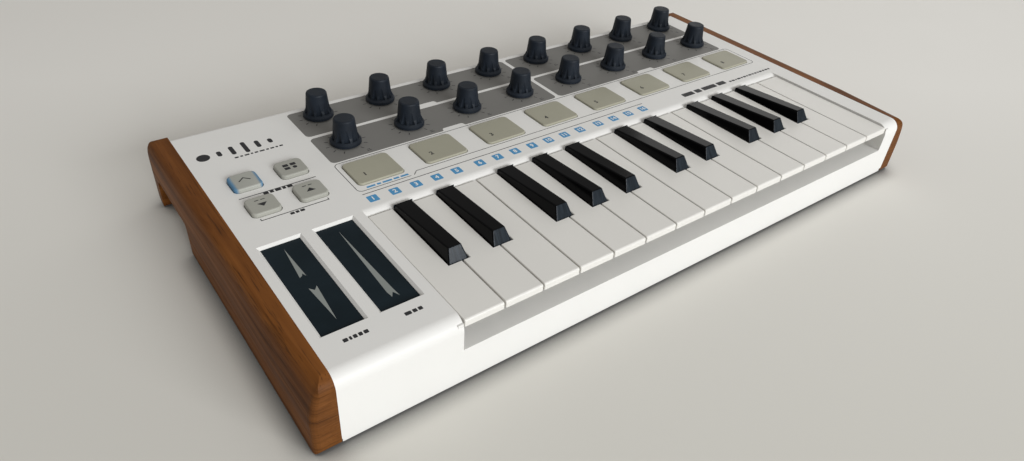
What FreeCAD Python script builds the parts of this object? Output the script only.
import FreeCAD, Part
import os, math

# Keyboard controller with mini keys, pads, encoders and touch strips.
# Frame: +X right, +Y to the rear, +Z up; origin at the middle of the footprint on the floor.

V = FreeCAD.Vector
doc = FreeCAD.newDocument("midi_keyboard")
sheet = doc.addObject("Spreadsheet::Sheet", "dims")
_row = [1]


class Q:
    """A number together with the sheet expression that makes it."""

    def __init__(self, v, text=None):
        self.v = float(v)
        self.t = text if text is not None else repr(round(float(v), 6))

    @staticmethod
    def of(a):
        return a if isinstance(a, Q) else Q(a)

    def __add__(self, o):
        o = Q.of(o)
        return Q(self.v + o.v, "(%s + %s)" % (self.t, o.t))

    __radd__ = __add__

    def __sub__(self, o):
        o = Q.of(o)
        return Q(self.v - o.v, "(%s - %s)" % (self.t, o.t))

    def __rsub__(self, o):
        return Q.of(o) - self

    def __mul__(self, o):
        o = Q.of(o)
        return Q(self.v * o.v, "(%s * %s)" % (self.t, o.t))

    __rmul__ = __mul__

    def __truediv__(self, o):
        o = Q.of(o)
        return Q(self.v / o.v, "(%s / %s)" % (self.t, o.t))

    def __neg__(self):
        return Q(-self.v, "(0 - %s)" % self.t)


def dim(alias, value):
    """Put a driving size in the sheet and hand back its bound number."""
    r = _row[0]
    sheet.set("A%d" % r, alias)
    sheet.set("B%d" % r, str(value))
    sheet.setAlias("B%d" % r, alias)
    _row[0] += 1
    return Q(value, "dims." + alias)


# ---------------------------------------------------------------- sizes, mm
half_w = dim("case_half_width", 185.0)
cheek_w = dim("cheek_thickness", 11.0)
y_f = dim("front_face", -98.3)
y_r = dim("case_rear_face", 95.4)
y_cr = dim("cheek_rear_face", 98.3)
z_b = dim("case_bottom", 1.1)
z_t = dim("panel_top", 37.0)
seam = dim("seam_height", 4.0)
wall = dim("case_wall", 2.5)
nose = dim("front_round", 6.0)
rear_round = dim("rear_round", 3.0)
ledge = dim("ledge_height", 20.8)
ledge_back = dim("ledge_back", -79.0)
kx0 = dim("key_bay_left", -130.3)
kx1 = dim("key_bay_right", 172.0)
kyb = dim("key_bay_back", -16.5)
lip_r = dim("panel_lip_round", 5.0)
pitch = dim("white_key_pitch", 20.1)
keys_left = dim("first_key_left", -129.9)
key_gap = dim("key_gap", 0.4)
wk_top = dim("white_key_top", 36.0)
wk_front = dim("white_key_front", -97.4)
wk_lip = dim("white_key_lip", 3.4)
wk_back = dim("key_head_back", -17.1)
key_plate = dim("key_plate", 1.8)
key_skin = dim("key_skin", 1.2)
bk_w = dim("black_key_width", 10.2)
bk_topw = dim("black_key_top_width", 6.6)
bk_front = dim("black_key_front", -65.3)
bk_slope = dim("black_key_front_slope", 3.6)
bk_topf = dim("black_key_top_front", 41.9)
bk_topr = dim("black_key_top_rear", 38.0)
piv_y = dim("pivot_depth", 2.0)
piv_z = dim("pivot_height", 24.0)
rod_r = dim("pivot_rod_radius", 1.5)
bore_r = dim("key_bore_radius", 1.55)
hub_r = dim("key_hub_radius", 3.6)
hub_w = dim("key_hub_width", 7.6)
neck_top = dim("key_neck_top", 32.4)
neck_bot = dim("key_neck_bottom", 27.4)
ctl_pitch = dim("control_pitch", 38.2)
knob_x0 = dim("first_knob", -109.3)
knob_y1 = dim("knob_row_front", 46.7)
knob_y2 = dim("knob_row_rear", 80.1)
knob_h = dim("knob_height", 14.3)
knob_gap = dim("knob_gap", 0.6)
skirt_r = dim("knob_skirt_radius", 8.3)
skirt_h = dim("knob_skirt_height", 1.6)
grip_rb = dim("knob_grip_base_radius", 6.5)
grip_rt = dim("knob_grip_top_radius", 5.6)
shaft_r = dim("encoder_shaft_radius", 3.0)
bush_in = dim("encoder_bush_bore", 3.05)
bush_r = dim("encoder_bush_radius", 3.5)
hole_enc = dim("encoder_hole_radius", 3.8)
enc_w = dim("encoder_body_width", 12.0)
pcb_z = dim("main_board_underside", 24.9)
pcb_th = dim("board_thickness", 1.6)
pad_w = dim("pad_width", 25.2)
pad_d = dim("pad_depth", 20.8)
pad_y = dim("pad_row", 16.6)
pad_rise = dim("pad_rise", 1.0)
pad_round = dim("pad_corner", 2.4)
btn_w = dim("button_width", 14.0)
btn_d = dim("button_depth", 13.6)
btn_round = dim("button_corner", 2.6)
btn_xl = dim("button_left_column", -166.9)
btn_xr = dim("button_right_column", -143.8)
btn_y1 = dim("button_front_row", 13.7)
btn_y2 = dim("button_rear_row", 36.4)
fit_gap = dim("window_gap", 0.35)
strip_w = dim("strip_width", 18.0)
strip_y0 = dim("strip_front", -75.4)
strip_y1 = dim("strip_back", -14.4)
strip_xa = dim("strip_left_middle", -170.6)
strip_xb = dim("strip_right_middle", -145.4)
strip_sink = dim("strip_sink", 1.3)
foot_r = dim("foot_radius", 7.0)
arch_y0 = dim("arch_front", 44.5)
arch_y1 = dim("arch_rear", 91.5)
arch_z = dim("arch_roof", 18.5)
usb_x = dim("usb_socket_middle", -158.0)
usb_z = dim("usb_socket_height", 18.6)
jack_x = dim("pedal_jack_middle", -128.0)
jack_z = dim("pedal_jack_height", 16.6)
jack_r = dim("pedal_jack_bore", 3.3)
screw_r = dim("case_screw_radius", 1.45)
boss_r = dim("case_boss_radius", 3.0)
doc.recompute()


# ---------------------------------------------------------------- helpers
def bind(obj, prop, q):
    q = Q.of(q)
    setattr(obj, prop, q.v)
    if "dims." in q.t:
        obj.setExpression(prop, q.t)


def put(obj, x=0, y=0, z=0, rot=None):
    x, y, z = Q.of(x), Q.of(y), Q.of(z)
    if rot is None:
        obj.Placement = FreeCAD.Placement(V(x.v, y.v, z.v), FreeCAD.Rotation())
    else:
        obj.Placement = FreeCAD.Placement(V(x.v, y.v, z.v), FreeCAD.Rotation(V(*rot[0]), rot[1]))
    for ax, q in (("x", x), ("y", y), ("z", z)):
        if "dims." in q.t:
            obj.setExpression("Placement.Base." + ax, q.t)


_n = [0]


def uid(stem):
    _n[0] += 1
    return "%s_%d" % (stem, _n[0])


def box(x0, x1, yy0, yy1, z0, z1, stem="block"):
    b = doc.addObject("Part::Box", uid(stem))
    x0, x1, yy0, yy1, z0, z1 = [Q.of(a) for a in (x0, x1, yy0, yy1, z0, z1)]
    bind(b, "Length", x1 - x0)
    bind(b, "Width", yy1 - yy0)
    bind(b, "Height", z1 - z0)
    put(b, x0, yy0, z0)
    return b


def cyl(x, y, z0, z1, r, stem="round"):
    c = doc.addObject("Part::Cylinder", uid(stem))
    x, y, z0, z1 = [Q.of(a) for a in (x, y, z0, z1)]
    bind(c, "Radius", r)
    bind(c, "Height", z1 - z0)
    put(c, x, y, z0)
    return c


def cylx(x0, x1, y, z, r, stem="rod"):
    c = doc.addObject("Part::Cylinder", uid(stem))
    x0, x1 = Q.of(x0), Q.of(x1)
    bind(c, "Radius", r)
    bind(c, "Height", x1 - x0)
    put(c, x0, y, z, ((0, 1, 0), 90))
    return c


def cyly(x, y0, y1, z, r, stem="rod"):
    c = doc.addObject("Part::Cylinder", uid(stem))
    y0, y1 = Q.of(y0), Q.of(y1)
    bind(c, "Radius", r)
    bind(c, "Height", y1 - y0)
    put(c, x, y0, z, ((1, 0, 0), -90))
    return c


def fuse(items, stem="fused"):
    f = doc.addObject("Part::MultiFuse", uid(stem))
    f.Shapes = items
    f.Refine = False
    return f


def cut(a, b, stem="cut"):
    c = doc.addObject("Part::Cut", uid(stem))
    c.Base = a
    c.Tool = b
    c.Refine = False
    return c


def group(items, label):
    g = doc.addObject("Part::Compound", uid("set"))
    g.Links = items
    g.Label = label
    return g


def plane(body, role):
    for f in body.Origin.OriginFeatures:
        if f.Role == role:
            return f


def new_body(name):
    b = doc.addObject("PartDesign::Body", name)
    return b


def sketch(body, role, name, offset=None):
    sk = body.newObject("Sketcher::SketchObject", uid(name))
    sk.AttachmentSupport = [(plane(body, role), "")]
    sk.MapMode = "FlatFace"
    if offset is not None:
        offset = Q.of(offset)
        sk.AttachmentOffset = FreeCAD.Placement(V(0, 0, offset.v), FreeCAD.Rotation())
        if "dims." in offset.t:
            sk.setExpression("AttachmentOffset.Base.z", offset.t)
    return sk


import Sketcher


def poly(sk, pts):
    """A closed loop of lines whose corners are tied to the sheet."""
    pts = [(Q.of(a), Q.of(b)) for a, b in pts]
    n = len(pts)
    ids = []
    for i in range(n):
        a, b = pts[i], pts[(i + 1) % n]
        ids.append(sk.addGeometry(Part.LineSegment(V(a[0].v, a[1].v, 0), V(b[0].v, b[1].v, 0)), False))
    for i in range(n):
        sk.addConstraint(Sketcher.Constraint("Coincident", ids[i], 2, ids[(i + 1) % n], 1))
    for i in range(n):
        for kind, q in (("DistanceX", pts[i][0]), ("DistanceY", pts[i][1])):
            c = sk.addConstraint(Sketcher.Constraint(kind, -1, 1, ids[i], 1, q.v))
            if "dims." in q.t:
                sk.setExpression("Constraints[%d]" % c, q.t)


def rect(sk, x0, x1, yy0, yy1):
    poly(sk, [(x0, yy0), (x1, yy0), (x1, yy1), (x0, yy1)])


def arc_corner(sk, y, z, r):
    """The sliver outside a quarter round, for a pocket that rounds one edge."""
    pts = [(y + r, z), (y + r, z + 1), (y - 0.5, z + 1), (y - 0.5, z - r), (y, z - r)]
    pts = [(Q.of(a), Q.of(c)) for a, c in pts]
    ids = []
    for i in range(4):
        a, c = pts[i], pts[i + 1]
        ids.append(sk.addGeometry(Part.LineSegment(V(a[0].v, a[1].v, 0), V(c[0].v, c[1].v, 0)), False))
    circ = Part.Circle(V(y.v + r.v, z.v - r.v, 0), V(0, 0, 1), r.v)
    g = sk.addGeometry(Part.ArcOfCircle(circ, math.pi / 2, math.pi), False)
    for i in range(3):
        sk.addConstraint(Sketcher.Constraint("Coincident", ids[i], 2, ids[i + 1], 1))
    sk.addConstraint(Sketcher.Constraint("Coincident", ids[0], 1, g, 1))
    sk.addConstraint(Sketcher.Constraint("Coincident", ids[3], 2, g, 2))
    ends = [(ids[0], 1, pts[0]), (ids[1], 1, pts[1]), (ids[2], 1, pts[2]), (ids[3], 1, pts[3]), (ids[3], 2, pts[4])]
    for gid, pos, pt in ends:
        for kind, q in (("DistanceX", pt[0]), ("DistanceY", pt[1])):
            c = sk.addConstraint(Sketcher.Constraint(kind, -1, 1, gid, pos, q.v))
            if "dims." in q.t:
                sk.setExpression("Constraints[%d]" % c, q.t)
    c = sk.addConstraint(Sketcher.Constraint("Radius", g, r.v))
    sk.setExpression("Constraints[%d]" % c, r.t)


def disc(sk, x, y, r):
    x, y, r = Q.of(x), Q.of(y), Q.of(r)
    g = sk.addGeometry(Part.Circle(V(x.v, y.v, 0), V(0, 0, 1), r.v), False)
    for kind, q in (("DistanceX", x), ("DistanceY", y)):
        c = sk.addConstraint(Sketcher.Constraint(kind, -1, 1, g, 3, q.v))
        if "dims." in q.t:
            sk.setExpression("Constraints[%d]" % c, q.t)
    c = sk.addConstraint(Sketcher.Constraint("Radius", g, r.v))
    if "dims." in r.t:
        sk.setExpression("Constraints[%d]" % c, r.t)


def pad(body, sk, length, mid=False, rev=False):
    p = body.newObject("PartDesign::Pad", uid("pad"))
    p.Profile = sk
    bind(p, "Length", length)
    if mid:
        p.Midplane = True
    if rev:
        p.Reversed = True
    sk.Visibility = False
    return p


def pocket(body, sk, length=None, mid=False, rev=False):
    p = body.newObject("PartDesign::Pocket", uid("pocket"))
    p.Profile = sk
    if length is None:
        p.Type = 1
    else:
        bind(p, "Length", length)
    if mid:
        p.Midplane = True
    if rev:
        p.Reversed = True
    sk.Visibility = False
    return p


def edges_where(feature, test):
    out = []
    for i, e in enumerate(feature.Shape.Edges):
        a = e.valueAt(e.FirstParameter)
        b = e.valueAt(e.LastParameter)
        if test(e, a, b):
            out.append("Edge%d" % (i + 1))
    return out


def dress(body, kind, prev, names, size):
    if not names:
        raise RuntimeError("no edges for " + kind + " in " + body.Name)
    f = body.newObject("PartDesign::" + kind, uid(kind.lower()))
    f.Base = (prev, names)
    bind(f, "Radius" if kind == "Fillet" else "Size", size)
    return f


def near(a, b, tol=0.02):
    return abs(a - b) < tol


nodes = []


def node(obj, label):
    obj.Label = label
    nodes.append((label, obj))


# ---------------------------------------------------------------- layout lists
knob_xs = [knob_x0 + ctl_pitch * i for i in range(8)]
pad_xs = [knob_x0 + ctl_pitch * i for i in range(8)]
btns = [("button_shift", btn_xl, btn_y2), ("button_pad_bank", btn_xr, btn_y2),
        ("button_octave_down", btn_xl, btn_y1), ("button_octave_up", btn_xr, btn_y1)]
boss_top = [(-172.0, 90.4), (-52.0, 90.4), (62.6, 90.4), (172.0, 90.4)]
boss_low = [(-172.0, -90.0), (-60.0, -90.0), (60.0, -90.0), (178.4, -90.0)]
cheek_screws = [(-70.0, 14.0), (20.0, 14.0), (68.0, 28.5)]

# ---------------------------------------------------------------- upper shell
b = new_body("upper_shell")
s = sketch(b, "YZ_Plane", "outline")
poly(s, [(y_f, seam), (y_f, z_t), (y_r, z_t), (y_r, seam)])
f = pad(b, s, half_w * 2, mid=True)
doc.recompute()
f = dress(b, "Fillet", f, edges_where(f, lambda e, p, q: near(p.y, y_f.v) and near(q.y, y_f.v) and near(p.z, z_t.v) and near(q.z, z_t.v)), nose)
doc.recompute()
f = dress(b, "Fillet", f, edges_where(f, lambda e, p, q: near(p.y, y_r.v) and near(q.y, y_r.v) and near(p.z, z_t.v) and near(q.z, z_t.v)), rear_round)
s = sketch(b, "XY_Plane", "cavity")
rect(s, -(half_w - wall), half_w - wall, y_f + wall, y_r - wall)
f = pocket(b, s, z_t - wall, rev=True)
# thick lip behind the keys, rounded, before the key bay is cut
s = sketch(b, "XY_Plane", "lip", z_t - 5.5)
rect(s, kx0, kx1, kyb, kyb + 6.5)
f = pad(b, s, 3.6)
# key bay
s = sketch(b, "XY_Plane", "keybay", ledge)
rect(s, kx0, kx1, y_f - 1, kyb)
f = pocket(b, s, z_t - ledge + 1, rev=True)
s = sketch(b, "YZ_Plane", "lip_round", kx0)
arc_corner(s, kyb, z_t, lip_r)
f = pocket(b, s, kx1 - kx0, rev=True)
s = sketch(b, "XY_Plane", "lip_under", z_t - 8)
rect(s, kx0, kx1, kyb - 0.5, kyb + 7)
f = pocket(b, s, 4.0, rev=True)
# ledge in front of the keys with its back upstand, and the two bay cheeks
s = sketch(b, "XY_Plane", "ledge", ledge - wall)
rect(s, kx0 - 0.5, kx1 + 0.5, y_f + 0.5, ledge_back)
f = pad(b, s, wall)
s = sketch(b, "XY_Plane", "upstand", ledge - 0.2)
rect(s, kx0 - 0.5, kx1 + 0.5, ledge_back - 2, ledge_back)
f = pad(b, s, 1.6)
s = sketch(b, "XY_Plane", "bay_sides", 12.0)
rect(s, kx0 - wall, kx0, y_f + 0.5, kyb + 10)
rect(s, kx1, kx1 + wall, y_f + 0.5, kyb + 10)
f = pad(b, s, z_t - 14.0)
# ribs between the encoders
s = sketch(b, "XY_Plane", "ribs", 30.5)
for i in range(7):
    rect(s, knob_x0 + ctl_pitch * (i + 0.5) - 0.8, knob_x0 + ctl_pitch * (i + 0.5) + 0.8, 33.0, y_r - wall + 0.4)
f = pad(b, s, z_t - 32.0)
# screw bosses
s = sketch(b, "XY_Plane", "bosses", 6.2)
for x, y in boss_top + [boss_low[0], boss_low[3]]:
    disc(s, x, y, boss_r)
f = pad(b, s, z_t - 7.2)
s = sketch(b, "XY_Plane", "low_bosses", 6.2)
for x, y in boss_low[1:3]:
    disc(s, x, y, boss_r)
f = pad(b, s, ledge - 7.2)
s = sketch(b, "XY_Plane", "pilot_holes", 6.2)
for x, y in boss_top + boss_low:
    disc(s, x, y, screw_r + 0.1)
f = pocket(b, s, 11.0, rev=True)
# windows in the panel
s = sketch(b, "XY_Plane", "strip_windows", z_t)
for xm in (strip_xa, strip_xb):
    rect(s, xm - strip_w / 2, xm + strip_w / 2, strip_y0, strip_y1)
f = pocket(b, s, 4.0)
doc.recompute()
f = dress(b, "Chamfer", f, edges_where(f, lambda e, p, q: near(p.z, z_t.v) and near(q.z, z_t.v) and p.x < -130 and q.x < -130 and strip_y0.v - 0.1 < min(p.y, q.y) and max(p.y, q.y) < strip_y1.v + 0.1 and -180.5 < min(p.x, q.x)), 1.1)
s = sketch(b, "XY_Plane", "pad_windows", z_t)
for xm in pad_xs:
    rect(s, xm - pad_w / 2 - fit_gap, xm + pad_w / 2 + fit_gap, pad_y - pad_d / 2 - fit_gap, pad_y + pad_d / 2 + fit_gap)
f = pocket(b, s, 4.0)
doc.recompute()
f = dress(b, "Fillet", f, edges_where(f, lambda e, p, q: near(p.x, q.x) and near(p.y, q.y) and max(p.z, q.z) > z_t.v - 0.1 and pad_y.v - 12 < p.y < pad_y.v + 12 and p.x > -125), pad_round + fit_gap)
s = sketch(b, "XY_Plane", "button_windows", z_t)
for nm, xm, ym in btns:
    rect(s, xm - btn_w / 2 - fit_gap, xm + btn_w / 2 + fit_gap, ym - btn_d / 2 - fit_gap, ym + btn_d / 2 + fit_gap)
f = pocket(b, s, 4.0)
doc.recompute()
f = dress(b, "Fillet", f, edges_where(f, lambda e, p, q: near(p.x, q.x) and near(p.y, q.y) and max(p.z, q.z) > z_t.v - 0.1 and 4 < p.y < 44 and -176 < p.x < -134), btn_round + fit_gap)
s = sketch(b, "XY_Plane", "encoder_holes", z_t)
for y in (knob_y1, knob_y2):
    for x in knob_xs:
        disc(s, x, y, hole_enc)
f = pocket(b, s, 4.0)
# rear sockets
s = sketch(b, "XZ_Plane", "rear_openings", -(y_r + 1))
rect(s, usb_x - 6.3, usb_x + 6.3, usb_z - 5.8, usb_z + 6.4)
disc(s, jack_x, jack_z, 4.9)
f = pocket(b, s, 4.0, rev=True)
# holes for the cheek screws
s = sketch(b, "YZ_Plane", "cheek_screw_holes")
for y, z in cheek_screws:
    disc(s, y, z, 1.7)
f = pocket(b, s, half_w * 2 + 2, mid=True)
b.Placement = FreeCAD.Placement(V(0, 0, 0), FreeCAD.Rotation())
node(b, "top_case")

# ---------------------------------------------------------------- lower tray with the key rail
b = new_body("lower_tray")
s = sketch(b, "XY_Plane", "plate", z_b)
rect(s, -(half_w - 0.4), half_w - 0.4, y_f + 0.4, y_r - 0.4)
f = pad(b, s, seam - z_b)
doc.recompute()
f = dress(b, "Fillet", f, edges_where(f, lambda e, p, q: near(p.z, z_b.v) and near(q.z, z_b.v)), 1.0)
s = sketch(b, "XY_Plane", "rim", seam - 0.2)
rect(s, -(half_w - wall - 0.4), half_w - wall - 0.4, y_f + wall + 0.4, y_r - wall - 0.4)
rect(s, -(half_w - wall - 2), half_w - wall - 2, y_f + wall + 2, y_r - wall - 2)
f = pad(b, s, 2.2)
s = sketch(b, "XY_Plane", "screw_seats", seam - 0.2)
for x, y in boss_top + boss_low:
    disc(s, x, y, 2.2)
f = pad(b, s, 2.2)
# long ribs that carry the contact board, and the rail below the pivot rod
s = sketch(b, "XY_Plane", "board_ribs", seam - 0.2)
rect(s, keys_left + 3, kx1 - 3, -30.0, -28.4)
rect(s, keys_left + 3, kx1 - 3, -12.0, -10.4)
f = pad(b, s, 16.2)
s = sketch(b, "XY_Plane", "rail", seam - 0.2)
rect(s, keys_left + 0.6, kx1 - 0.6, piv_y - 2.4, piv_y + 2.4)
f = pad(b, s, 15.2)
# board posts
s = sketch(b, "XY_Plane", "board_posts", seam - 0.2)
for x in (-172.0, -90.2, -13.8, 62.6, 139.0, 172.0):
    disc(s, x, 38.0 if x not in (-90.2, 62.6) else 34.5, 2.6)
    disc(s, x, 64.0, 2.6)
disc(s, -175.5, 8.0, 2.6)
disc(s, -136.5, 8.0, 2.6)
f = pad(b, s, pcb_z - seam + 0.2)
tray = b
tray_last = f

# ---------------------------------------------------------------- keys
names12 = ["c", "cs", "d", "ds", "e", "f", "fs", "g", "gs", "a", "as", "b"]
black_off = {1: -1.6, 3: 1.6, 6: -2.4, 8: 0.0, 10: 2.4}
keys = []
wi = 0
for k in range(25):
    p = k % 12
    if p in black_off:
        xc = keys_left + pitch * wi + black_off[p]
        keys.append(dict(k=k, black=True, x=xc, name="key_%02d_%s" % (k + 1, names12[p])))
    else:
        keys.append(dict(k=k, black=False, x=keys_left + pitch * (wi + 0.5), name="key_%02d_%s" % (k + 1, names12[p])))
        wi += 1
for i, kk in enumerate(keys):
    if kk["black"]:
        kk["lo"], kk["hi"] = -(bk_w / 2), bk_w / 2
        kk["mid"] = Q(0)
        continue
    lo, hi = -(pitch / 2 - key_gap), pitch / 2 - key_gap
    if i > 0 and keys[i - 1]["black"]:
        lo = Q.of(keys[i - 1]["x"] - kk["x"] + bk_w / 2 + key_gap)
    if i + 1 < 25 and keys[i + 1]["black"]:
        hi = Q.of(keys[i + 1]["x"] - kk["x"] - bk_w / 2 - key_gap)
    kk["lo"], kk["hi"] = lo, hi
    kk["mid"] = (lo + hi) / 2


def hub_mid(kk):
    return kk["x"] + kk["mid"]


for kk in keys:
    b = new_body("body_" + kk["name"])
    m, lo, hi = kk["mid"], kk["lo"], kk["hi"]
    if not kk["black"]:
        wl, wr = -(pitch / 2 - key_gap), pitch / 2 - key_gap
        shoulder = bk_front - 0.6
        # plan of the whole moulding
        s = sketch(b, "XY_Plane", "plan", piv_z - hub_r)
        pts = [(wl, wk_front), (wr, wk_front)]
        if hi.v < wr.v - 0.01:
            pts += [(wr, shoulder), (hi, shoulder)]
        pts += [(hi, wk_back + 0.8), (m + hub_w / 2, wk_back + 0.8), (m + hub_w / 2, piv_y + hub_r),
                (m - hub_w / 2, piv_y + hub_r), (m - hub_w / 2, wk_back + 0.8), (lo, wk_back + 0.8)]
        if lo.v > wl.v + 0.01:
            pts += [(lo, shoulder), (wl, shoulder)]
        poly(s, pts)
        f = pad(b, s, wk_top - piv_z + hub_r)
        # side profile: what is taken away above the neck and below the head
        s = sketch(b, "YZ_Plane", "side")
        poly(s, [(wk_back, wk_top + 1), (wk_back, neck_top), (piv_y - 6, neck_top - 0.6), (piv_y + 1.2, piv_z + hub_r),
                 (piv_y + hub_r + 1, piv_z + hub_r), (piv_y + hub_r + 1, wk_top + 1)])
        poly(s, [(wk_front - 1, piv_z - hub_r - 1), (wk_front - 1, wk_top - wk_lip), (wk_front + 12, wk_top - wk_lip),
                 (wk_front + 17, neck_bot), (piv_y - 8, neck_bot), (piv_y - hub_r, piv_z), (piv_y - hub_r, piv_z - hub_r - 1)])
        f = pocket(b, s, pitch * 2, mid=True)
        # hollow underside
        s = sketch(b, "XY_Plane", "hollow", piv_z - hub_r - 2)
        rect(s, wl + key_skin, wr - key_skin, wk_front + key_skin, shoulder - key_skin)
        rect(s, lo + key_skin, hi - key_skin, shoulder, wk_back - key_skin)
        f = pocket(b, s, wk_top - key_plate - (piv_z - hub_r - 2), rev=True)
        s = sketch(b, "XY_Plane", "hollow_join", piv_z - hub_r - 2)
        rect(s, lo + key_skin, hi - key_skin, shoulder - 2 * key_skin, shoulder + key_skin)
        f = pocket(b, s, wk_top - key_plate - (piv_z - hub_r - 2), rev=True)
        doc.recompute()
        f = dress(b, "Fillet", f, edges_where(f, lambda e, p, q: near(p.z, wk_top.v) and near(q.z, wk_top.v) and near(p.y, wk_front.v) and near(q.y, wk_front.v)), 1.0)
        doc.recompute()
        f = dress(b, "Chamfer", f, edges_where(f, lambda e, p, q: near(p.z, wk_top.v, 0.01) and near(q.z, wk_top.v, 0.01) and abs(p.y - q.y) > 3 and near(p.x, q.x)), 0.25)
    else:
        hw = bk_w / 2
        s = sketch(b, "YZ_Plane", "side")
        sl = (bk_topf - bk_topr) / (wk_back - bk_front - bk_slope)
        poly(s, [(bk_front, wk_top - 0.6), (bk_front + bk_slope, bk_topf), (wk_back, bk_topr), (wk_back, neck_top), (piv_y - 6, neck_top - 0.6),
                 (piv_y + 1.2, piv_z + hub_r), (piv_y + hub_r, piv_z + hub_r), (piv_y + hub_r, piv_z - hub_r),
                 (piv_y - hub_r, piv_z - hub_r), (piv_y - hub_r, piv_z), (piv_y - 8, neck_bot), (bk_front, neck_bot)])
        f = pad(b, s, bk_w, mid=True)
        # tapered flanks
        s = sketch(b, "XZ_Plane", "flanks", -(wk_back - 0.01))
        poly(s, [(hw, wk_top - 1), (hw + 2, wk_top - 1), (hw + 2, bk_topf + 3), (bk_topw / 2 - 0.6, bk_topf + 3), (bk_topw / 2, bk_topf)])
        poly(s, [(-hw, wk_top - 1), (-hw - 2, wk_top - 1), (-hw - 2, bk_topf + 3), (0.6 - bk_topw / 2, bk_topf + 3), (-(bk_topw / 2), bk_topf)])
        f = pocket(b, s, 60.0, rev=True)
        # narrow neck and hub
        s = sketch(b, "XY_Plane", "neck", piv_z - hub_r - 1)
        rect(s, hub_w / 2, hw + 1, wk_back + 0.8, piv_y + hub_r + 1)
        rect(s, -hw - 1, -(hub_w / 2), wk_back + 0.8, piv_y + hub_r + 1)
        f = pocket(b, s, 20.0, rev=True)
        s = sketch(b, "XY_Plane", "hollow", piv_z - hub_r - 1)
        rect(s, -hw + 1.6, hw - 1.6, bk_front + 1.6, wk_back - 1.6)
        f = pocket(b, s, wk_top - piv_z + hub_r, rev=True)
        doc.recompute()
        if abs(f.Shape.BoundBox.ZMax - bk_topf.v) > 0.05:
            raise RuntimeError("flank cut went the wrong way")
        f = dress(b, "Fillet", f, edges_where(f, lambda e, p, q: min(p.z, q.z) > bk_topr.v - 0.6 and max(p.y, q.y) < wk_back.v + 0.01 and abs(p.y - q.y) > 20), 0.8)
        doc.recompute()
        f = dress(b, "Fillet", f, edges_where(f, lambda e, p, q: min(p.z, q.z) > bk_topf.v - 1.0 and near(p.y, q.y, 0.1) and max(p.y, q.y) < bk_front.v + bk_slope.v + 0.6 and abs(p.x - q.x) > 3), 0.7)
    s = sketch(b, "YZ_Plane", "pivot_bore")
    disc(s, piv_y, piv_z, bore_r)
    f = pocket(b, s, pitch * 2, mid=True)
    put(b, kk["x"], 0, 0)
    kk["body"] = b

# comb posts that hold the rod, between neighbouring hubs
post_idx = [2, 5, 8, 11, 14, 17, 20, 23]
post_x = [(hub_mid(keys[i]) + hub_mid(keys[i + 1])) / 2 for i in post_idx]
post_x = [hub_mid(keys[0]) - 5.2] + post_x + [hub_mid(keys[24]) + 5.2]
s = sketch(tray, "XY_Plane", "comb", seam - 0.2)
for x in post_x:
    rect(s, x - 0.7, x + 0.7, piv_y - 2.4, piv_y + 2.4)
f = pad(tray, s, piv_z + 3.0 - seam)
s = sketch(tray, "YZ_Plane", "rod_seat")
disc(s, piv_y, piv_z, rod_r + 0.02)
f = pocket(tray, s, half_w * 2 - 8, mid=True)
s = sketch(tray, "XY_Plane", "screw_holes", z_b - 0.5)
for x, y in boss_top + boss_low:
    disc(s, x, y, 3.1)
f = pocket(tray, s, 3.0, rev=True)
s = sketch(tray, "XY_Plane", "screw_shanks", z_b - 0.5)
for x, y in boss_top + boss_low:
    disc(s, x, y, screw_r + 0.25)
f = pocket(tray, s, 8.0, rev=True)
tray.Placement = FreeCAD.Placement(V(0, 0, 0), FreeCAD.Rotation())
node(tray, "bottom_case")

# ---------------------------------------------------------------- wooden cheeks
cheek_objs = []
# outline of the shoulder: distance out from the case side, in elevenths of the thickness, and drop below the top
front_prof = [(3.4, 0.0), (4.4, -0.5), (5.4, -1.3), (6.4, -2.4), (7.3, -3.9), (8.1, -5.6), (8.8, -7.5), (9.4, -9.6), (9.9, -11.8), (10.4, -14.2), (10.75, -16.8), (11.03, -19.6)]
mid_prof = [(6.2, 0.0), (7.0, -0.2), (7.7, -0.65), (8.35, -1.4), (8.9, -2.4), (9.4, -3.8), (9.8, -5.4), (10.15, -7.3), (10.45, -9.4), (10.7, -11.8), (10.9, -14.4), (11.03, -17.2)]
rear_prof = [(6.8, 0.0), (7.6, -0.15), (8.35, -0.5), (9.0, -1.05), (9.55, -1.75), (10.0, -2.6), (10.35, -3.6), (10.6, -4.7), (10.8, -6.0), (10.92, -7.5), (10.99, -9.2), (11.03, -11.2)]
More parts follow.
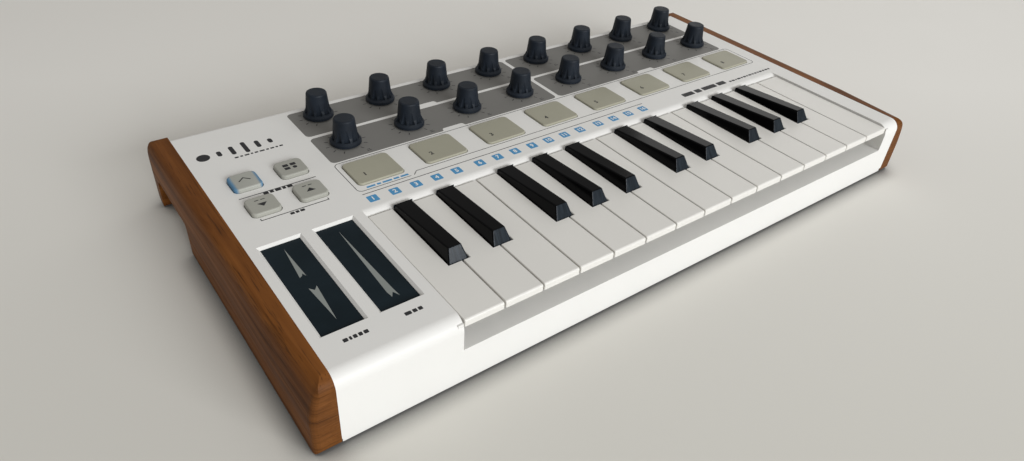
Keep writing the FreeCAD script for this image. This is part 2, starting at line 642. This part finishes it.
# the outer front corner is rounded: distance behind the front face, and how far the side is drawn in there
corner_round = [(-1.0, 4.6), (0.0, 2.5), (0.5, 1.34), (1.2, 0.6), (2.0, 0.17), (3.2, 0.0)]
shoulder = [(y_f + t, [(a * (1 - d / 11.0), dz) for a, dz in front_prof] + [(11.03 - d, -42.0)]) for t, d in corner_round]
shoulder += [(Q.of(-52.0), mid_prof + [(11.03, -42.0)]), (y_cr + 1.0, rear_prof + [(11.03, -42.0)])]
for sgn, nm in ((-1, "cheek_left"), (1, "cheek_right")):
    b = new_body(nm)
    s = sketch(b, "YZ_Plane", "profile", half_w if sgn > 0 else -(half_w + cheek_w))
    poly(s, [(y_f, z_b), (y_f, z_t), (y_cr, z_t), (y_cr, z_b), (arch_y1, z_b), (arch_y1, arch_z), (arch_y0, arch_z), (arch_y0, z_b)])
    f = pad(b, s, cheek_w)
    doc.recompute()
    f = dress(b, "Fillet", f, edges_where(f, lambda e, p, q: near(p.y, y_f.v) and near(q.y, y_f.v) and near(p.z, z_t.v) and near(q.z, z_t.v)), nose)
    doc.recompute()
    f = dress(b, "Fillet", f, edges_where(f, lambda e, p, q: near(p.y, y_cr.v) and near(q.y, y_cr.v) and near(p.z, z_t.v) and near(q.z, z_t.v)), 1.2)
    doc.recompute()
    f = dress(b, "Fillet", f, edges_where(f, lambda e, p, q: near(p.y, y_cr.v) and near(q.y, y_cr.v) and near(p.z, z_b.v) and near(q.z, z_b.v)), 4.5)
    doc.recompute()
    f = dress(b, "Fillet", f, edges_where(f, lambda e, p, q: near(p.y, y_f.v) and near(q.y, y_f.v) and near(p.z, z_b.v) and near(q.z, z_b.v)), 2.0)
    doc.recompute()
    f = dress(b, "Fillet", f, edges_where(f, lambda e, p, q: near(p.y, arch_y1.v) and near(q.y, arch_y1.v) and near(p.z, arch_z.v) and near(q.z, arch_z.v)), 6.0)
    doc.recompute()
    f = dress(b, "Fillet", f, edges_where(f, lambda e, p, q: near(p.y, arch_y0.v) and near(q.y, arch_y0.v) and near(p.z, arch_z.v) and near(q.z, arch_z.v)), 2.5)
    s = sketch(b, "YZ_Plane", "screw_pilots", (half_w - 1) if sgn > 0 else -(half_w + 7.6))
    for y, z in cheek_screws:
        disc(s, y, z, 1.5)
    f = pocket(b, s, 8.6, rev=True)
    # the shoulder is full and square at the rear and falls away towards the front
    o = Q(sgn)
    sks = []
    for ys, prof in shoulder:
        s = sketch(b, "XZ_Plane", "shoulder", -ys)
        pts = [(o * (half_w + cheek_w * (a / 11.0)), z_t + dz) for a, dz in prof]
        pts += [(o * (half_w + cheek_w + 2), z_t + prof[-1][1]), (o * (half_w + cheek_w + 2), z_t + 2), (o * (half_w + cheek_w * (prof[0][0] / 11.0)), z_t + 2)]
        poly(s, pts)
        s.Visibility = False
        sks.append(s)
    doc.recompute()
    f = b.newObject("PartDesign::SubtractiveLoft", uid("shoulder_cut"))
    f.Profile = sks[0]
    f.Sections = sks[1:]
    f.Ruled = True
    f.Closed = False
    doc.recompute()
    cheek_objs.append(b)
node(group(cheek_objs, "wood_cheeks"), "wood_cheeks")

# ---------------------------------------------------------------- touch strips
strips = []
for nm, xm in (("strip_pitch", strip_xa), ("strip_mod", strip_xb)):
    a = box(xm - strip_w / 2 + 0.05, xm + strip_w / 2 - 0.05, strip_y0 + 0.05, strip_y1 - 0.05, z_t - wall - 0.9, z_t - strip_sink)
    c = box(xm - strip_w / 2 - 1.2, xm + strip_w / 2 + 1.2, strip_y0 - 1.5, strip_y1 + 1.5, z_t - wall - 2.0, z_t - wall - 0.05)
    strips.append(fuse([a, c], nm))
node(group(strips, "touch_strips"), "touch_strips")

# ---------------------------------------------------------------- pads
for i, xm in enumerate(pad_xs):
    b = new_body("pad_body_%d" % (i + 1))
    s = sketch(b, "XY_Plane", "cap", -3.0)
    rect(s, -(pad_w / 2), pad_w / 2, -(pad_d / 2), pad_d / 2)
    f = pad(b, s, pad_rise + 3.0)
    doc.recompute()
    f = dress(b, "Fillet", f, edges_where(f, lambda e, p, q: near(p.x, q.x) and near(p.y, q.y)), pad_round)
    doc.recompute()
    f = dress(b, "Fillet", f, edges_where(f, lambda e, p, q: near(p.z, pad_rise.v) and near(q.z, pad_rise.v)), 0.6)
    s = sketch(b, "XY_Plane", "flange", -(wall + 1.4))
    rect(s, -(pad_w / 2) - 1.3, pad_w / 2 + 1.3, -(pad_d / 2) - 1.3, pad_d / 2 + 1.3)
    f = pad(b, s, 1.0)
    s = sketch(b, "XY_Plane", "plunger", -(wall + 1.7))
    rect(s, -7.0, 7.0, -5.0, 5.0)
    f = pad(b, s, 1.0)
    put(b, xm, pad_y, z_t)
    node(b, "pad_%d" % (i + 1))

# ---------------------------------------------------------------- buttons
for nm, xm, ym in btns:
    b = new_body(nm + "_body")
    s = sketch(b, "XY_Plane", "cap", -3.0)
    rect(s, -(btn_w / 2), btn_w / 2, -(btn_d / 2), btn_d / 2)
    f = pad(b, s, pad_rise + 4.0)
    doc.recompute()
    f = dress(b, "Fillet", f, edges_where(f, lambda e, p, q: near(p.x, q.x) and near(p.y, q.y)), btn_round)
    doc.recompute()
    f = dress(b, "Fillet", f, edges_where(f, lambda e, p, q: near(p.z, pad_rise.v + 1.0) and near(q.z, pad_rise.v + 1.0)), 0.8)
    s = sketch(b, "XY_Plane", "flange", -(wall + 1.4))
    rect(s, -(btn_w / 2) - 1.1, btn_w / 2 + 1.1, -(btn_d / 2) - 1.1, btn_d / 2 + 1.1)
    f = pad(b, s, 1.0)
    s = sketch(b, "XY_Plane", "stem", -(wall + 2.4))
    disc(s, 0, 0, 2.2)
    f = pad(b, s, 1.4)
    put(b, xm, ym, z_t)
    node(b, nm)

# ---------------------------------------------------------------- encoder knobs with their shafts
kn = 0
for y in (knob_y2, knob_y1):
    for xm in knob_xs:
        kn += 1
        b = new_body("knob_cap_%02d" % kn)
        s = sketch(b, "XZ_Plane", "turned")
        poly(s, [(4.2, 3.6), (7.2, 1.2), (7.7, 0.0), (skirt_r - 0.25, 0.0), (skirt_r, 0.3), (skirt_r, skirt_h), (skirt_r - 0.9, skirt_h + 0.9),
                 (grip_rb + 0.55, skirt_h + 2.3), (grip_rb, skirt_h + 3.4), (grip_rt, knob_h - 0.9), (grip_rt - 0.25, knob_h - 0.3), (grip_rt - 0.9, knob_h),
                 (0.0, knob_h), (0.0, knob_h - 2.6), (shaft_r + 0.02, knob_h - 2.6), (shaft_r + 0.02, 3.6)])
        f = b.newObject("PartDesign::Revolution", uid("turn"))
        f.Profile = s
        f.ReferenceAxis = (s, ["V_Axis"])
        f.Angle = 360.0
        s = sketch(b, "XY_Plane", "flute", skirt_h + 1.2)
        disc(s, grip_rb + 1.25, 0, 1.75)
        f = pocket(b, s, knob_h, rev=True)
        pat = b.newObject("PartDesign::PolarPattern", uid("flutes"))
        pat.Originals = [f]
        pat.Axis = (plane(b, "Z_Axis"), [""])
        pat.Angle = 360.0
        pat.Occurrences = 10
        b.Tip = pat
        put(b, 0, 0, 0)
        sh = cyl(0, 0, -9.4, knob_h - 2.7, shaft_r, "shaft")
        g = doc.addObject("Part::Compound", uid("encoder_knob"))
        g.Links = [b, sh]
        put(g, xm, y, z_t + knob_gap)
        node(g, "encoder_knob_%02d" % kn)

for kk in keys:
    node(kk["body"], kk["name"])

# ---------------------------------------------------------------- boards with everything soldered to them
parts = []
main = box(-179.0, 178.0, 32.0, 87.0, pcb_z, pcb_z + pcb_th, "main_board")
side = box(-179.0, -133.4, 2.0, 32.5, pcb_z, pcb_z + pcb_th, "button_board")
parts.append(fuse([main, side], "main_board_set"))
for y in (knob_y1, knob_y2):
    for xm in knob_xs:
        hb = box(xm - enc_w / 2, xm + enc_w / 2, y - enc_w / 2, y + enc_w / 2, pcb_z + pcb_th, z_t - 4.0, "encoder")
        nk = cyl(xm, y, z_t - 4.2, z_t + 2.6, bush_r, "bushing")
        br = cyl(xm, y, z_t - 9.2, z_t + 3.0, bush_in, "bush_bore")
        parts.append(cut(fuse([hb, nk]), br, "encoder"))
pb = box(keys_left + 4, 161.0, pad_y - 12, pad_y + 12, z_t - 7.4, z_t - 5.8, "pad_board")
parts.append(pb)
for xm in pad_xs:
    parts.append(box(xm - 10.0, xm + 10.0, pad_y - 8, pad_y + 8, z_t - 5.8, z_t - 5.2, "pad_sensor"))
for nm, xm, ym in btns:
    sb = box(xm - 3.1, xm + 3.1, ym - 3.1, ym + 3.1, pcb_z + pcb_th, z_t - 7.4, "switch")
    sp = cyl(xm, ym, z_t - 7.5, z_t - 6.1, 1.7, "plunger")
    parts.append(fuse([sb, sp]))
parts.append(box(keys_left + 2, kx1 - 2, -32.0, -8.5, 20.0, 21.6, "contact_board"))
for kk in keys:
    d1 = cyl(hub_mid(kk), -22.0, 21.6, 23.4, 3.2, "dome")
    d2 = doc.addObject("Part::Cone", uid("dome_top"))
    d2.Radius1, d2.Radius2, d2.Height = 3.2, 2.0, 1.4
    put(d2, hub_mid(kk), -22.0, 23.4)
    parts.append(fuse([d1, d2]))
ub = box(usb_x - 6.0, usb_x + 6.0, y_r - 17.0, y_r - 0.6, usb_z - 5.45, pcb_z - 0.05, "usb_shell")
uc = box(usb_x - 4.4, usb_x + 4.4, y_r - 12.0, y_r + 1.0, usb_z - 4.2, usb_z + 4.2, "usb_mouth")
ut = box(usb_x - 2.8, usb_x + 2.8, y_r - 12.5, y_r - 3.0, usb_z + 0.6, usb_z + 2.6, "usb_tongue")
parts.append(fuse([cut(ub, uc), ut], "usb_socket"))
jb = box(jack_x - 8.0, jack_x + 8.0, y_r - 29.0, y_r - wall - 0.3, jack_z - 7.5, pcb_z - 0.05, "jack_body")
jn = cyly(jack_x, y_r - wall - 0.5, y_r + 1.6, jack_z, 4.7, "jack_nose")
jc = cyly(jack_x, y_r - 27.0, y_r + 2.0, jack_z, jack_r, "jack_bore")
parts.append(cut(fuse([jb, jn]), jc, "pedal_jack"))
parts.append(box(-40.0, -26.0, 54.0, 68.0, pcb_z + pcb_th, pcb_z + pcb_th + 1.6, "processor"))
parts.append(box(20.0, 29.0, 58.0, 66.0, pcb_z + pcb_th, pcb_z + pcb_th + 1.5, "driver"))
parts.append(box(104.0, 120.0, 60.0, 66.0, pcb_z + pcb_th, pcb_z + pcb_th + 5.0, "header"))
parts.append(box(-6.0, 14.0, 27.0, 31.8, pcb_z + 0.3, pcb_z + 1.5, "ribbon"))
node(group(parts, "circuit_boards"), "circuit_boards")

# ---------------------------------------------------------------- steel parts
steel = [cylx(hub_mid(keys[0]) - 8.0, hub_mid(keys[24]) + 8.0, piv_y, piv_z, rod_r, "pivot_rod")]
for x, y in boss_top + boss_low:
    hd = cyl(x, y, z_b + 0.6, z_b + 2.4, 2.8, "screw_head")
    sk = cyl(x, y, z_b + 2.3, 16.0, screw_r, "screw_shank")
    c1 = box(x - 1.9, x + 1.9, y - 0.4, y + 0.4, z_b, z_b + 1.5, "drive")
    c2 = box(x - 0.4, x + 0.4, y - 1.9, y + 1.9, z_b, z_b + 1.5, "drive")
    steel.append(cut(fuse([hd, sk]), fuse([c1, c2]), "case_screw"))
for sgn in (-1, 1):
    for y, z in cheek_screws:
        if sgn > 0:
            hd = cylx(half_w - wall - 1.7, half_w - wall - 0.02, y, z, 2.7, "screw_head")
            sk = cylx(half_w - wall - 0.1, half_w + 7.0, y, z, 1.4, "screw_shank")
        else:
            hd = cylx(-(half_w - wall - 0.02), -(half_w - wall - 1.7), y, z, 2.7, "screw_head")
            sk = cylx(-(half_w + 7.0), -(half_w - wall - 0.1), y, z, 1.4, "screw_shank")
        steel.append(fuse([hd, sk], "cheek_screw"))
node(group(steel, "steel_hardware"), "steel_hardware")

# ---------------------------------------------------------------- feet
feet = []
for x in (-162.0, 162.0):
    for y in (-78.0, 76.0):
        ft = doc.addObject("Part::Cone", uid("foot"))
        bind(ft, "Radius1", foot_r - 0.6)
        bind(ft, "Radius2", foot_r)
        bind(ft, "Height", z_b)
        put(ft, x, y, 0)
        feet.append(ft)
node(group(feet, "rubber_feet"), "rubber_feet")

doc.recompute()
bad = 0
for o in doc.Objects:
    st = [str(x) for x in o.State]
    if any("Invalid" in x or "Error" in x for x in st):
        print("STATE", o.Name, o.Label, st)
        bad += 1
seen = set()
for label, o in nodes:
    sh = o.Shape
    if sh.isNull() or not sh.isValid():
        print("SHAPE", label, "null or invalid")
        bad += 1
        continue
    seen.add(label)
if bad:
    raise RuntimeError("%d faulty objects" % bad)
if len(seen) != len(nodes):
    raise RuntimeError("labels repeat")

os.makedirs("parts", exist_ok=True)
for label, o in nodes:
    o.Shape.exportStep("parts/%s.step" % label)
    bb = o.Shape.BoundBox
    print("%-22s solids %3d vol %9.1f  x %.1f..%.1f y %.1f..%.1f z %.1f..%.1f" % (label, len(o.Shape.Solids), o.Shape.Volume, bb.XMin, bb.XMax, bb.YMin, bb.YMax, bb.ZMin, bb.ZMax))
print("nodes", len(nodes))
